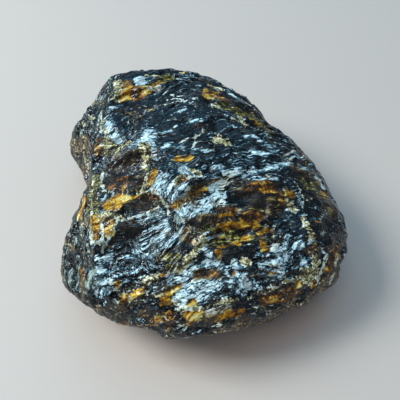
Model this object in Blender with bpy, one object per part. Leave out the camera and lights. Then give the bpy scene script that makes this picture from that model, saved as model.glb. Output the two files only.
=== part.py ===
"""A fist-sized lump of raw amber, broken from a larger nodule, lying on its worn flat side.

One natural piece: a domed, laminated fracture face on top with scooped hollows, a weathered left flank,
an undercut front with a lower lip, and a long slanting back. Lengths are in millimetres in this source;
the mesh is built in metres, +Z up, with the origin on the resting plane below the middle of its box.
"""

import math

import bmesh
import bpy
import numpy as np
from mathutils import Vector, noise

MM = 0.001

# Plan outline at the widest level: radius every 22.5 degrees, from +X towards +Y.
OUTLINE_RADII = (60, 55, 50, 58, 67, 73, 77, 70, 51, 61, 65, 63, 63, 61, 63, 68)
# The widest level, and the dome above it: each rises towards the back (+Y) and the left (-X).
RIM_HEIGHT = 19.0
RIM_RISE_BACK = 5.0
RIM_RISE_LEFT = 3.0
CROWN_HEIGHT = 53.0
CROWN_CLIMB_BACK = 0.08
CROWN_CLIMB_LEFT = 0.05
SHOULDER_POWER = 0.86  # an ellipse has 1, and a squarer shoulder has less
SHOULDER_LESS_BACK = 0.10
SHOULDER_LESS_LEFT = 0.14
FOOT_POWER = 0.78
BELLY_LEVEL = -3.0  # the lowest point of the belly, before it is worn flat

# Broken flats: name, azimuth and elevation that the flat faces, distance from CORE, softness of its border.
CORE = (0.0, 0.0, 22.0)
FLATS = (
    ("left_lower_flank", 197, 33, 50.0, 0.5),
    ("left_upper_flank", 174, 35, 51.0, 0.5),
    ("back_left_bevel", 132, 34, 70.0, 1.6),
    ("back_slope", 60, 40, 56.5, 2.6),
    ("right_shoulder", 8, 40, 55.5, 2.6),
    ("front_undercut_left", 238, -32, 53.0, 1.6),
    ("front_undercut_right", 285, -34, 47.0, 1.6),
    ("right_undercut", 335, -32, 52.0, 1.6),
    ("back_undercut", 95, -26, 55.0, 2.0),
    ("left_undercut", 180, -34, 50.0, 1.6),
)

# Scoops in the top: name, middle in plan, half length, half width, turn from +X, depth, deeper towards +X.
HOLLOWS = (
    ("upper_pocket", (-27, -2), 13, 6.5, 16, 3.4, 0.3),
    ("lower_pocket", (-28, -12), 12, 5.5, 14, 3.0, 0.2),
    ("olive_pocket", (-21, -20), 11, 4.5, 20, 2.4, 0.2),
    ("fan_hollow", (-22, -31), 17, 8.5, 24, 4.2, -0.2),
    ("crown_window", (-29, 34), 9, 5.0, 20, 2.6, 0.0),
    ("crown_window_right", (-15, 38), 9, 3.5, 22, 2.2, 0.0),
    ("centre_crack", (2, -13), 20, 3.4, 20, 2.8, 0.0),
    ("gold_gully", (17, -28), 17, 4.2, 16, 2.6, 0.0),
    ("right_flat", (34, -17), 15, 8.0, 18, 2.0, 0.0),
    ("upper_trough", (12, 15), 19, 6.0, 4, 1.8, 0.0),
    ("lower_trough", (26, -43), 15, 4.0, 14, 1.8, 0.0),
)
# Bites from the side, each pressed towards CORE: name, middle, radius, depth.
BITES = (
    ("left_notch", (-57, 6, 25), 26, 7.0),
    ("upper_left_notch", (-54, 17, 30), 18, 4.0),
    ("front_notch", (-20, -58, 14), 14, 5.0),
    ("back_notch", (20, 50, 22), 20, 3.5),
)
# Swells, each pushed away from CORE: name, middle, radius, height.
SWELLS = (
    ("plate_ridge", (-10, -13, 52), 15, 2.2),
    ("white_knob", (0, -24, 50), 10, 2.6),
    ("knob_right", (9, -20, 50), 8, 1.6),
    ("crown_knob", (2, 33, 53), 10, 2.0),
    ("back_left_shoulder", (-54, 32, 32), 16, 5.0),
    ("right_lip", (54, -30, 12), 14, 7.5),
    ("front_lip", (22, -50, 10), 16, 3.0),
    ("left_tip", (-58, -34, 20), 15, 2.2),
)

# The amber is layered, and broke in steps along its layers.
LAYER_NORMAL = (0.30, -0.84, 0.45)
LAYER_PITCH = 8.0
LAYER_WARP = 5.0
LAYER_WARP_SIZE = 34.0
LEDGE_DROP = 2.1
LEDGE_FACE = 0.28  # share of a pitch that the steep face takes
LEDGE_LEAST_UPWARD = 0.58  # where the normal points up less than this, there are no ledges
LEDGE_FADE = 0.16
LUMP_HEIGHT = 0.9
LUMP_SIZE = 17.0
CHIP_DEPTH = 0.6
CHIP_SIZE = 6.0
WEATHERED_CHIP_DEPTH = 1.0
WEATHERED_CHIP_SIZE = 11.0

BALL_SUBDIVISIONS = 8  # 327,680 faces, before they are thinned
KEPT_FACES = 9600
CUTTER_SIZE = 200.0
AMBER_BROWN = (0.045, 0.018, 0.006, 1.0)
AMBER_ROUGHNESS = 0.25


def clear_scene():
    for obj in list(bpy.data.objects):
        bpy.data.objects.remove(obj, do_unlink=True)


def outline_radius(azimuth):
    """A closed smooth curve through OUTLINE_RADII (Catmull-Rom)."""
    radii = np.array(OUTLINE_RADII, float)
    count = len(radii)
    place = (azimuth / (2 * math.pi) * count) % count
    start = np.floor(place).astype(int)
    t = place - start
    before, first, second, after = (radii[(start + k) % count] for k in (-1, 0, 1, 2))
    return 0.5 * (
        2 * first
        + (second - before) * t
        + (2 * before - 5 * first + 4 * second - after) * t**2
        + (3 * first - before - 3 * second + after) * t**3
    )


def nodule(directions):
    """Carries unit directions to the surface of the unbroken nodule."""
    east, north, rise = directions.T
    azimuth = np.arctan2(north, east)
    rim = RIM_HEIGHT + RIM_RISE_BACK * north - RIM_RISE_LEFT * east
    upper = rise >= 0
    shoulder = SHOULDER_POWER - SHOULDER_LESS_BACK * north + SHOULDER_LESS_LEFT * np.minimum(east, 0)
    power = np.where(upper, shoulder, FOOT_POWER)
    radius = outline_radius(azimuth) * np.hypot(east, north) ** power
    x = radius * np.cos(azimuth)
    y = radius * np.sin(azimuth)
    climb = np.abs(rise) ** power
    crown = CROWN_HEIGHT + CROWN_CLIMB_BACK * y - CROWN_CLIMB_LEFT * x
    z = rim + (np.where(upper, crown, BELLY_LEVEL) - rim) * climb
    return np.stack([x, y, z], 1)


def facing(azimuth, elevation):
    a = math.radians(azimuth)
    e = math.radians(elevation)
    return np.array([math.cos(a) * math.cos(e), math.sin(a) * math.cos(e), math.sin(e)])


def break_flats(points):
    for _, azimuth, elevation, distance, softness in FLATS:
        normal = facing(azimuth, elevation)
        beyond = (points - CORE) @ normal - distance
        points = points - softness * np.logaddexp(0, beyond / softness)[:, None] * normal
    return points


def press(points, places, sign):
    """Moves the surface near each place towards CORE (sign -1) or away from it (sign 1)."""
    for _, middle, radius, amount in places:
        distance = np.linalg.norm(points - middle, axis=1)
        near = np.maximum(0, 1 - (distance / radius) ** 2) ** 1.5
        outward = np.subtract(middle, CORE)
        outward /= np.linalg.norm(outward)
        points = points + sign * amount * near[:, None] * outward
    return points


def hollow_depths(points):
    """How far each point sinks into the hollows, and how clearly it lies in one (0 to 1)."""
    depths = np.zeros(len(points))
    inside = np.zeros(len(points))
    for _, middle, half_length, half_width, turn, depth, skew in HOLLOWS:
        along = np.array([math.cos(math.radians(turn)), math.sin(math.radians(turn))])
        offset = points[:, :2] - middle
        u = offset @ along / half_length
        v = offset @ (-along[1], along[0]) / half_width
        bowl = np.maximum(0, 1 - u**2 - v**2) * (points[:, 2] > RIM_HEIGHT)
        depths += depth * bowl * (1 + skew * u)
        inside = np.maximum(inside, np.minimum(1, 2 * bowl))
    return depths, inside


def noise_at(points, size, seed):
    """Smooth noise between about -1 and 1, one value for each point."""
    shift = Vector((seed, 2 * seed, 3 * seed))
    return np.array([noise.noise(Vector(point) / size + shift) for point in points])


def ledges(points):
    """Rises slowly across each layer and drops at its broken edge, as wood splits in steps."""
    across = points @ np.array(LAYER_NORMAL)
    across += LAYER_WARP * noise_at(points, LAYER_WARP_SIZE, 7.3)
    share = (across / LAYER_PITCH) % 1
    rising = share / (1 - LEDGE_FACE)
    falling = (1 - share) / LEDGE_FACE
    strength = np.clip(0.55 + 1.1 * noise_at(points, 26.0, 3.1), 0.05, 1)
    return LEDGE_DROP * (np.minimum(rising, falling) - 0.5) * strength


def chips(points, size, seed):
    """Zero on the broken ridges and 1 in the pits between them."""
    return 1 - 2 * np.abs(noise_at(points, size, seed))


def relief(points, normals, inside):
    """Height of the fine form above the plain one: ledges on the top, coarse chips on weathered sides."""
    up = np.clip((normals[:, 2] - LEDGE_LEAST_UPWARD) / LEDGE_FADE, 0, 1)
    top = ledges(points) * (1 - 0.8 * inside) - CHIP_DEPTH * chips(points, CHIP_SIZE, 5.9)
    side = -WEATHERED_CHIP_DEPTH * chips(points, WEATHERED_CHIP_SIZE, 8.7)
    return LUMP_HEIGHT * noise_at(points, LUMP_SIZE, 1.7) + top * up + side * (1 - up)


def place_vertices(form, points):
    for vertex, point in zip(form.verts, points):
        vertex.co = point
    form.normal_update()


def lump_mesh():
    form = bmesh.new()
    bmesh.ops.create_icosphere(form, subdivisions=BALL_SUBDIVISIONS, radius=1)
    directions = np.array([v.co.normalized() for v in form.verts])
    points = break_flats(nodule(directions))
    points = press(points, BITES, -1)
    points = press(points, SWELLS, 1)
    depths, inside = hollow_depths(points)
    points[:, 2] -= depths
    place_vertices(form, points)
    normals = np.array([v.normal for v in form.verts])
    points += relief(points, normals, inside)[:, None] * normals
    middle = (points.min(0) + points.max(0)) / 2
    points[:, :2] -= middle[:2]
    place_vertices(form, points * MM)
    mesh = bpy.data.meshes.new("raw_amber")
    form.to_mesh(mesh)
    form.free()
    return mesh


def amber_material():
    material = bpy.data.materials.new("raw_amber")
    material.use_nodes = True
    shader = material.node_tree.nodes["Principled BSDF"]
    shader.inputs["Base Color"].default_value = AMBER_BROWN
    shader.inputs["Roughness"].default_value = AMBER_ROUGHNESS
    shader.inputs["Metallic"].default_value = 0.0
    shader.inputs["IOR"].default_value = 1.54
    return material


def floor_cutter(collection):
    """A block whose top is the resting plane: it takes away the belly below that plane."""
    form = bmesh.new()
    bmesh.ops.create_cube(form, size=CUTTER_SIZE * MM)
    bmesh.ops.translate(form, verts=form.verts, vec=(0, 0, -CUTTER_SIZE / 2 * MM))
    mesh = bpy.data.meshes.new("floor_cutter")
    form.to_mesh(mesh)
    form.free()
    cutter = bpy.data.objects.new("floor_cutter", mesh)
    cutter.hide_render = True
    cutter.display_type = "WIRE"
    collection.objects.link(cutter)
    return cutter


def new_collection(name):
    collection = bpy.data.collections.new(name)
    bpy.context.scene.collection.children.link(collection)
    return collection


def main():
    clear_scene()
    amber = bpy.data.objects.new("raw_amber", lump_mesh())
    amber.data.materials.append(amber_material())
    new_collection("raw_amber_piece").objects.link(amber)
    thin = amber.modifiers.new("thin", "DECIMATE")
    thin.ratio = KEPT_FACES / len(amber.data.polygons)
    worn_flat = amber.modifiers.new("worn_flat", "BOOLEAN")
    worn_flat.operation = "DIFFERENCE"
    worn_flat.object = floor_cutter(new_collection("cutters"))


if __name__ == "__main__":
    main()
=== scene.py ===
"""Looks of the raw amber lump: its fine broken surface, its see-through amber, crusts and golden windows.

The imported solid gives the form. This script remeshes a copy of it finely, breaks the copy's surface into
layers, fibres, chips and pits, and paints it with procedural materials. Lengths named here are in
millimetres; Blender's own are in metres.
"""

import itertools
import math
from types import SimpleNamespace

import bmesh
import bpy
import numpy as np
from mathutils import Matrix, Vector


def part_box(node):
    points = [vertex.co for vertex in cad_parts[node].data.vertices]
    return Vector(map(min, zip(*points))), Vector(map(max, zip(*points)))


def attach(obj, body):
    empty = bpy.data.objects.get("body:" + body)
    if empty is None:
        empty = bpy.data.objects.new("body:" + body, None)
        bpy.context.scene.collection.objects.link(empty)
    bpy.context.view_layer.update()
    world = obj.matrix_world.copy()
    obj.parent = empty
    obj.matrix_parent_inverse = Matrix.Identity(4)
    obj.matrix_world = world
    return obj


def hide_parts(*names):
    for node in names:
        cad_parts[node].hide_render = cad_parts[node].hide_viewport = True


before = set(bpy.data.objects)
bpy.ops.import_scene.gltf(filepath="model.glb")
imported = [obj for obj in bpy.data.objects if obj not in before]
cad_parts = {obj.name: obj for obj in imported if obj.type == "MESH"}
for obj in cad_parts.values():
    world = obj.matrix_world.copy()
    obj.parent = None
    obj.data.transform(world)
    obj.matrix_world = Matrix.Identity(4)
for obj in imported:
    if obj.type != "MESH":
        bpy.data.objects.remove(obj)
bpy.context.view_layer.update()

MM = 0.001
NODE = "raw_amber"
VOXEL = 0.5
MOST_TRIANGLES = 196_000
EASE_STEPS = 4
RESTING_FADE = 1.5  # the relief fades out this far above the floor, so that the lump still lies flat
FURTHEST = 6.0  # how far outside a mark its depth is still told

# The layers that the amber broke along: unit directions across them, along their fibres, and the third one.
ACROSS = np.array([0.30, -0.84, 0.45]) / np.linalg.norm([0.30, -0.84, 0.45])
ALONG = np.cross(ACROSS, [0.0, 0.0, 1.0]) / np.linalg.norm(np.cross(ACROSS, [0.0, 0.0, 1.0]))
SIDE = np.cross(ACROSS, ALONG)
# On the left flank the grain runs along the ridge.
FLANK_ALONG = np.array([0.25, 0.94, 0.22])
FLANK_ACROSS = np.array([0.50, -0.32, 0.80])
FLANK_SIDE = np.cross(FLANK_ACROSS, FLANK_ALONG)
# Upwards and to the back left: where the treads of the broken steps face, and where facets catch the light.
# Colour made paler on facets turned this way is a painted highlight.
LIGHT_FACING = np.array([-0.21, 0.25, 0.94])

# Borders between kinds of surface, as the part of the normal that points up, or to +X for the flank.
# Each goes from no share to a full one.
TOP_FACING = (0.30, 0.60)
RIND_FACING = (0.62, 0.42)
UNDERSIDE_FACING = (0.30, 0.0)
FLANK_FACING = (-0.40, -0.60)
# Borders of the marks that change the relief, in mm inside the stroke's edge.
CALM_BORDER = (-0.5, 1.5)
GRAIN_BORDER = (-0.8, 0.8)
CRUST_BORDER = (-0.6, 0.8)
CALM_LOSS = 0.8  # the share of the relief that calm glass lacks

# How the layers wander: how far, the size of the waves, and the seed of their pattern.
LAYER_SWAY = (5, 34, 7)
LAYER_WARP = (0.9, 7, 11)
LAYER_CRINKLE = (0.3, 2.5, 12)
# The relief: height, size and seed. A size is one number or one for each axis: x, y and z, or for splinters
# and fibres across, along and beside the layers.
SPLINTERS = (0.8, (2.4, 6.0, 5.0), 35)
FLAKES = (0.5, (5, 5, 5), 36)
THIN_FIBRES = (0.12, (0.8, 7, 5), 33)
THICK_FIBRES = (0.07, (1.6, 12, 8), 34)
GRAINS = (0.8, 2.2, 41)
CRUST_CRUMBS = (0.22, 1.6, 51)
CRUST_LUMPS = (0.3, 3.2, 52)
RIND_FLAKES = (0.5, (4, 4, 2.6), 61)
RIND_CHIPS = (0.25, 1.8, 62)
RIND_LUMPS = (0.3, 6, 63)
# Ledges where the layers broke: height, pitch, the share of the pitch that the steep face takes, and the
# pattern, as above, by which they come and go around a middling strength.
LEDGES = (
    (0.8, 2.9, 0.25, (1.2, 14, 31)),
    (0.35, 1.4, 0.35, (1.5, 8, 32)),
)
LEDGE_STRENGTH = 0.55
# Large odd numbers that stir a cell's place and a seed into one pseudo-random number.
STIR_PLACE = (73856093, 19349663, 83492791)
STIR_SEED = 2654435761
STIR_AGAIN = 1274126177
NOISE_GAIN = 1.6  # brings the noise to between about -1 and 1
CHIP_JITTER = 0.42  # how far a chip's middle strays from its cell's, in cells
CHIP_CRISPNESS = 14.0  # how sharp the borders between chips are
WELL_INSIDE = 0.9  # a turned patch is slid to meet the layers it replaces where its share is above this

# Marks on the top, seen from above. Each is a stroke: its half width, then the points that it runs through.
MARKS = {
    # Clear golden windows.
    "gold": (
        (2.4, (-32.2, 41), (-31.7, 33.5)),
        (2.0, (-22.7, 37), (-19.2, 40.5), (-16.2, 42.5)),
        (2.4, (4.3, 36.5), (3.3, 32)),
        (0.5, (21.3, 22.7), (24.8, 22.3)),
        (1.2, (-17.7, -8.5), (-18.7, -12.5)),
        (1.1, (-8.7, -2.7), (-4.2, -1.7)),
        (1.0, (-29.6, -12.5), (-30.2, -17.5)),
        (2.5, (-30.7, -17.5), (-33.7, -19.5), (-31.7, -21)),
        (0.7, (-27.7, -17.5), (-24.7, -17), (-22.2, -15.5)),
        (1.8, (-38.7, -26), (-38.2, -31)),
        (1.5, (-33.7, -26.5), (-33.2, -30.5)),
        (1.9, (8.3, -28.3), (10.8, -27.1)),
        (1.0, (12.8, -27.5), (18.3, -26.5), (20.8, -27.1)),
        (0.6, (21.8, -30), (24.8, -28), (27.3, -28.3)),
        (1.1, (22.3, -31.5), (23.3, -34.5)),
        (0.9, (15.8, -32), (16.8, -31.3)),
        (0.8, (6.3, -38.5), (8.8, -36), (13.8, -34)),
        (1.0, (23.8, -13.3), (26.8, -12.1)),
        (1.0, (33.8, -13.3), (35.6, -13.5)),
        (0.6, (-24.2, -51), (-20.7, -50)),
        (0.4, (-30.2, -48.2), (-28.7, -47.8)),
        (0.5, (-30.2, -54.7), (-27.7, -55.1)),
        (0.4, (-12.4, -51.8), (-10.2, -50.5)),
        (0.5, (-8.7, -49.3), (-7.2, -48.3)),
        (0.6, (-14.2, -53.5), (-11.2, -53.5)),
        (1.2, (-4.2, -57.3), (-0.2, -57)),
        (0.5, (1.8, -58.5), (6.8, -57.5), (11.8, -56.3)),
        (0.6, (34.8, -45), (37.3, -44.3)),
        (0.6, (44.3, -42.5), (42.8, -44.5)),
        (1.3, (-45.7, -14), (-46.2, -18)),
    ),
    # Clear red-brown windows.
    "ember": (
        (2.5, (-27.7, 37), (-26.2, 33.5)),
        (1.8, (9.1, 37), (9.3, 33)),
        (1.5, (-40.7, 8.5), (-41.2, 5)),
        (1.3, (-34.5, -7.5), (-30, -7.8)),
        (1.1, (-34, -11.2), (-26, -11.8)),
        (0.8, (-2.7, -17), (-0.7, -14.5), (1.3, -13.5)),
        (1.0, (-10.2, -23), (-7.7, -21.3), (-3.2, -20.3)),
        (0.7, (-18.2, -18.8), (-15.2, -18.5)),
        (0.8, (-7, -13.5), (-4.7, -11.5)),
        (2.2, (18.8, -14), (22.8, -13.3), (26.8, -12.5)),
        (0.9, (31.1, -15.5), (31.6, -18.5)),
        (1.7, (8.8, -24), (11.8, -24.5)),
        (1.2, (15.8, -25), (21.8, -23.5)),
        (1.2, (48.3, -7.5), (50.3, -6.8)),
        (0.8, (46.8, -10.5), (49.8, -10)),
        (0.7, (-27.2, -52), (-26.7, -53.5)),
        (1.4, (-11.7, -57.5), (-10.7, -59)),
        (0.8, (-3.7, -54), (-2.7, -53.8)),
        (1.0, (-0.7, -45.5), (4.8, -45.5)),
        (1.5, (22.8, -50), (27.5, -49.5), (30.8, -48.5), (36.5, -45.5)),
        (1.2, (44.5, -42), (48.5, -38.5), (51, -35)),
        (1.7, (52.3, -31), (50.8, -34.5)),
        (1.0, (-44.7, -38), (-44.7, -41)),
        (0.7, (12.8, -55.5), (15.8, -55)),
    ),
    # Pale crumbs.
    "crust": (
        (2.2, (-35.7, 42.5), (-35, 37.5), (-35.7, 33)),
        (1.4, (-23.2, 48.5), (-18.2, 48)),
        (1.5, (4.8, 43), (8.8, 41)),
        (0.8, (5.3, 30), (8.8, 28)),
        (0.9, (5.8, 26.5), (7.3, 26)),
        (2.3, (7.3, 9.5), (10.3, 8.5)),
        (1.3, (16.3, 22.5), (18.3, 18)),
        (0.7, (20.3, 36), (24.8, 33.5)),
        (0.8, (-39.2, 19), (-38.7, 14.5), (-37.2, 11.5), (-36.7, 8.5)),
        (1.2, (-38.7, 7.5), (-36.2, 6.5)),
        (0.9, (-30.7, 5), (-27.7, 6.3)),
        (1.1, (-23.2, 4), (-21.2, 0), (-21.5, -3.5)),
        (0.5, (-41.2, -7.5), (-41.2, -13.5), (-40.7, -19.5), (-40.2, -23.5)),
        (1.2, (-36.7, -25), (-33.2, -24.7), (-29.7, -24)),
        (0.9, (-23.7, -14), (-21.2, -13), (-19.7, -9.5)),
        (1.1, (-9.2, -14), (-6.7, -10.5)),
        (0.9, (-3.7, -7.5), (-0.2, -9)),
        (1.8, (33.8, -16.5), (35.3, -18)),
        (1.2, (39.3, -22.5), (40.3, -26), (42.3, -28), (40.8, -29.5)),
        (1.4, (-8.2, -45), (-5.7, -42.5), (-2.7, -40), (-0.7, -37), (0.8, -34.5)),
        (1.4, (16.3, -40.2), (17.8, -41.3)),
        (1.8, (44.3, -35), (42.8, -39.5), (38.3, -41)),
        (0.5, (17.8, -50.5), (24.8, -47.5), (31.8, -44.2), (36.3, -42.3)),
        (1.2, (41.3, -42.5), (39.3, -42)),
        (1.5, (-19.7, -47.5), (-16.2, -46.5)),
        (0.7, (-15.2, -52.3), (-13.4, -51.9)),
        (0.7, (2.3, -54.3), (6.8, -53.7), (12.8, -52.1)),
        (1.0, (-48.2, 32.5), (-46.7, 28.5)),
        (0.8, (-52.2, 30.5), (-49.7, 27.5)),
        (0.7, (-50.2, 17.5), (-48.7, 12.5)),
    ),
    # Thin pale lines.
    "vein": (
        (0.6, (-21.7, 36.5), (-17.2, 37.8)),
        (0.5, (12.8, 21), (16.3, 20)),
        (0.6, (-38.2, -4.5), (-38.2, -9.5), (-36.7, -12.5)),
        (0.6, (-36.2, -26.5), (-35.5, -31.5), (-35.2, -36.5)),
        (0.45, (-30.2, -25.5), (-31.2, -29), (-34.2, -34.5)),
        (0.5, (-40.9, -26.5), (-39.7, -32.5), (-36.2, -35)),
        (0.6, (-4.7, -12), (-1.2, -10.5), (0.8, -10)),
        (0.6, (48.3, -33), (46.3, -37.5), (44.3, -42.5)),
        (0.5, (53.3, -30.5), (52.3, -35.5), (50.8, -39.5), (47.3, -45)),
        (0.6, (31.8, -43.8), (35.3, -43.1)),
        (0.6, (-9.7, -53.5), (-7.2, -55), (-2.2, -56), (0.8, -55.5)),
        (0.35, (-14.2, 31), (-14, 28.8), (-10.7, 29.5), (-7, 28.7), (-6.8, 32), (-9.2, 31.3), (-13.2, 33)),
        (0.4, (-23.2, -15.5), (-18.2, -16.2), (-14.7, -18.5), (-12, -22), (-11.4, -25.5)),
        (0.35, (-41.7, 27.5), (-40.2, 20.5), (-39.7, 12.5)),
        (0.35, (-29.2, -26.5), (-23.2, -24.3), (-15.2, -22)),
        (0.35, (-25.2, 24.5), (-13.2, 26.5), (-1.2, 28.5)),
        (0.35, (-24.2, 36.5), (-11.2, 42.5), (0.8, 43.5)),
        (0.35, (-2.2, 12.5), (-1.7, 6.5), (-3.2, 2.5)),
        (0.35, (-8.2, 5.5), (-3.2, 8.5), (1.8, 13.5)),
        (0.4, (33.8, 5.5), (36.8, 8.5), (38.8, 10), (41.8, 8.5)),
        (0.35, (36.8, -7.5), (38.8, -10.5), (40.3, -13.5), (39.3, -17.5)),
        (0.35, (18.8, -44.5), (23.8, -40.8), (29.8, -40.1)),
    ),
    # Pale silky fibres, partly painted highlights and bluish sheen.
    "frost": (
        (2.4, (-26.7, 45.5), (-25.7, 41)),
        (1.1, (-36.5, 25.5), (-37.2, 20.5)),
        (1.8, (-35.7, 18.5), (-36.7, 13.5)),
        (1.6, (-34.2, 10), (-32.2, 7.5)),
        (3.2, (-19.7, 9), (-20.7, 3.5)),
        (0.9, (-14.2, 10), (-9.7, 13.5)),
        (0.9, (-15.2, 3), (-11.2, 5.5)),
        (0.9, (-33.2, 1.8), (-28.2, 2.9), (-25.2, 3.3)),
        (0.5, (-35.2, -2.5), (-33.2, -3.8), (-30.7, -3.8)),
        (1.0, (-37.7, 2), (-37.7, -3.5)),
        (1.0, (-36.2, -13.5), (-36.7, -17)),
        (1.1, (12.8, 37.5), (15.8, 36), (18.8, 34.5)),
        (1.2, (27.3, 22), (29.8, 20)),
        (0.9, (17.3, 13.3), (18.8, 13)),
        (0.9, (21.8, 13.3), (24.3, 11.3)),
        (1.2, (-8.2, 22), (-6.2, 23)),
        (0.7, (-3.7, 17), (-0.7, 18)),
        (0.8, (0.8, 17.5), (0.8, 16.5)),
        (0.5, (-2.7, 2.3), (1.8, 2.5), (5.8, 2)),
        (1.4, (22.3, 3.5), (25.8, 3.3)),
        (0.8, (5.3, -6.2), (8.1, -5.8)),
        (0.7, (1.3, -11.5), (4.8, -10.8), (9.8, -10.3)),
        (0.8, (8.8, -8), (11.8, -7.5)),
        (1.5, (14.8, -6.5), (17.8, -6.3), (20.8, -6)),
        (0.45, (20.3, -10), (24.8, -9.3), (28.3, -8.7)),
        (0.8, (20.8, -4.8), (24.8, -4), (29.8, -2.7)),
        (1.1, (31.3, -1.5), (33.3, 0.5), (36.3, 0.2)),
        (1.4, (40.3, 1), (43.3, 2.3)),
        (1.0, (47.3, -0.5), (50.3, -4)),
        (0.6, (46.1, -21.5), (47.8, -18), (49.8, -16), (53.3, -13)),
        (1.2, (-16.2, -14), (-14.5, -10.8)),
        (2.4, (-16, -16), (-12.2, -15.5), (-8.7, -19)),
        (2.6, (-11.2, -14.5), (-5.7, -17)),
        (1.7, (-6.7, -7.5), (-5.2, -9)),
        (1.2, (-12.2, -11.5), (-11.2, -13)),
        (2.6, (-6.2, -24.5), (-2.7, -27), (-6.2, -28)),
        (2.9, (-3.2, -23.5), (3.3, -21), (7.3, -18.5)),
        (2.0, (1.8, -21), (3.3, -22.3)),
        (1.7, (1.8, -26.5), (3.8, -27)),
        (2.0, (5.8, -15.5), (7.8, -18), (7.8, -21)),
        (0.9, (3.8, -13.5), (8.3, -13.3)),
        (1.5, (-21, -26.2), (-17.5, -26), (-14, -25.5)),
        (0.8, (-22.4, -26), (-22, -27.5)),
        (1.1, (-12.7, -27), (-12.2, -30.5)),
        (1.6, (-11.2, -35.5), (-8.7, -33.5), (-6.7, -32.5)),
        (0.7, (-14.2, -28.5), (-20.2, -29.5)),
        (0.7, (-12.7, -30.5), (-16.2, -31.5), (-21.2, -32.8)),
        (0.8, (-13.2, -32), (-17.2, -33.5), (-21.2, -34.5)),
        (0.9, (-12.7, -34.5), (-15.2, -37), (-17.7, -38.5)),
        (0.7, (-19.2, -35.5), (-23.7, -36.5)),
        (0.8, (-15.2, -34), (-20.2, -38)),
        (0.7, (24.8, -17.8), (26.8, -16)),
        (0.6, (25.4, -19), (25.4, -21)),
        (0.6, (31.6, -13), (33.1, -11.5)),
        (0.9, (32.8, -19.1), (35.8, -18.9)),
        (1.1, (37.8, -12), (38.8, -15.5)),
        (0.7, (31.6, -23.5), (33.8, -21)),
        (1.0, (13.1, -24.3), (15.8, -23.1)),
        (1.0, (39.1, -21.5), (39.8, -24)),
        (1.1, (1.8, -33.8), (3.8, -32)),
        (1.5, (2.8, -42.5), (5.6, -41.5)),
        (0.9, (2.3, -38.5), (4.3, -39.5)),
        (0.8, (-4.2, -43.5), (-1.7, -43.8)),
        (2.8, (-9.2, -47), (-4.2, -47.5), (0.8, -48.5), (6.8, -48)),
        (1.6, (-7.2, -52.5), (-2.2, -53), (3.8, -52.5)),
        (0.6, (-8.7, -50.5), (-4.2, -50.5)),
        (0.9, (-4.7, -52.5), (-1.7, -52), (1.3, -52.5)),
        (0.7, (-9.2, -53), (-7.2, -54.5)),
        (0.8, (1.8, -56.8), (5.8, -56.1), (10.8, -54.8)),
        (1.6, (27.8, -35), (29.3, -37.5), (31.3, -36.5)),
        (0.8, (21.3, -41), (24.8, -39.5), (28.8, -39), (30.3, -39.5)),
        (0.7, (26.8, -42.8), (30.3, -42.1)),
        (1.4, (12.3, -41.5), (13.3, -44)),
        (0.8, (9.8, -43.5), (9.8, -45)),
        (0.9, (11.3, -46.5), (10.8, -48.5)),
        (1.4, (15.3, -46), (16.8, -47.5)),
        (0.9, (13.8, -49.5), (16.3, -49.8)),
        (0.8, (21.6, -47.5), (22.3, -48.5)),
        (0.8, (37.8, -36), (39.3, -37.5)),
        (0.7, (35.8, -32.5), (37.8, -31.8)),
        (0.9, (48.8, -32.5), (50.3, -30.5)),
        (1.1, (-37.2, -43), (-35.2, -43)),
        (0.9, (-37.7, -46.7), (-34.2, -46.7), (-31.7, -47.3)),
        (1.2, (-39.7, -43), (-41.2, -45.5), (-42.7, -48)),
        (0.9, (-37.2, -49), (-36.2, -50)),
        (0.8, (-34.2, -52.5), (-32.2, -54)),
        (1.0, (-36.7, -38.8), (-32.7, -38.2)),
        (0.8, (-48.2, -25.5), (-47.7, -27.5)),
        (0.7, (-50.2, -36.5), (-50.2, -39.5)),
    ),
    # Stained green-brown.
    "olive": (
        (1.3, (1.8, 44.5), (4.8, 43.5)),
        (2.0, (9.8, 28.5), (17.8, 26), (25.8, 23)),
        (0.8, (-29.2, -12.8), (-24.2, -13.5)),
        (2.2, (-41.2, -6.5), (-41, -13.5), (-40.2, -22.5)),
        (2.4, (-40.5, 5.5), (-36.5, 5), (-34, 4.6)),
        (1.5, (-22.5, 4), (-20.5, 0), (-21, -3.5)),
        (1.9, (-20.5, 40), (-17.5, 43.8), (-14, 46.5)),
        (0.9, (-14.7, -20), (-12.2, -22), (-11.7, -24.5)),
        (1.0, (-1.2, -31), (4.3, -31)),
        (1.4, (4.3, -35.5), (8.8, -32.5), (12.8, -30.5)),
        (1.2, (-14.2, -40.5), (-8.2, -40.5)),
        (1.0, (-11.2, -43.5), (-10.2, -44)),
        (1.2, (16.8, -23.8), (21.8, -22.5)),
        (1.0, (12.8, -32.5), (19.8, -31.5), (25.8, -31.5)),
        (1.2, (44.8, -5.5), (45.8, -8.5)),
        (1.3, (40.8, -5.5), (42.8, -8.5)),
    ),
    # Brown glass.
    "umber": (
        (3.4, (-34.6, -5.4), (-25.2, -6.4)),
        (3.0, (-34.2, -9.3), (-25.2, -11)),
        (1.8, (-33.8, 0.2), (-25.2, 0.2)),
        (2.0, (-25.2, -19), (-17.2, -20.5)),
        (1.6, (-29.2, -26.5), (-25.2, -28.5)),
        (1.6, (14.8, -15.5), (21.8, -17.5), (30.8, -17.5)),
        (1.8, (19.8, -21.5), (29.8, -20.5)),
        (1.2, (27.8, -11.5), (30.8, -14.5)),
        (1.6, (0.8, -29), (5.8, -29)),
        (1.2, (-5.2, -34.5), (-1.2, -33)),
        (1.8, (37.8, -1.5), (46.8, -3.5)),
        (1.6, (50.8, -10.5), (52.8, -16.5)),
        (1.2, (-1.2, -45.7), (5.8, -45.2)),
        (1.4, (22.8, -50.5), (34.8, -45.5)),
        (1.5, (53.3, -27.5), (51.8, -37.5)),
        (1.2, (-20.7, 3), (-20.9, -2)),
        (1.2, (10.8, 31.5), (20.8, 26.5), (28.8, 19.5)),
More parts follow.
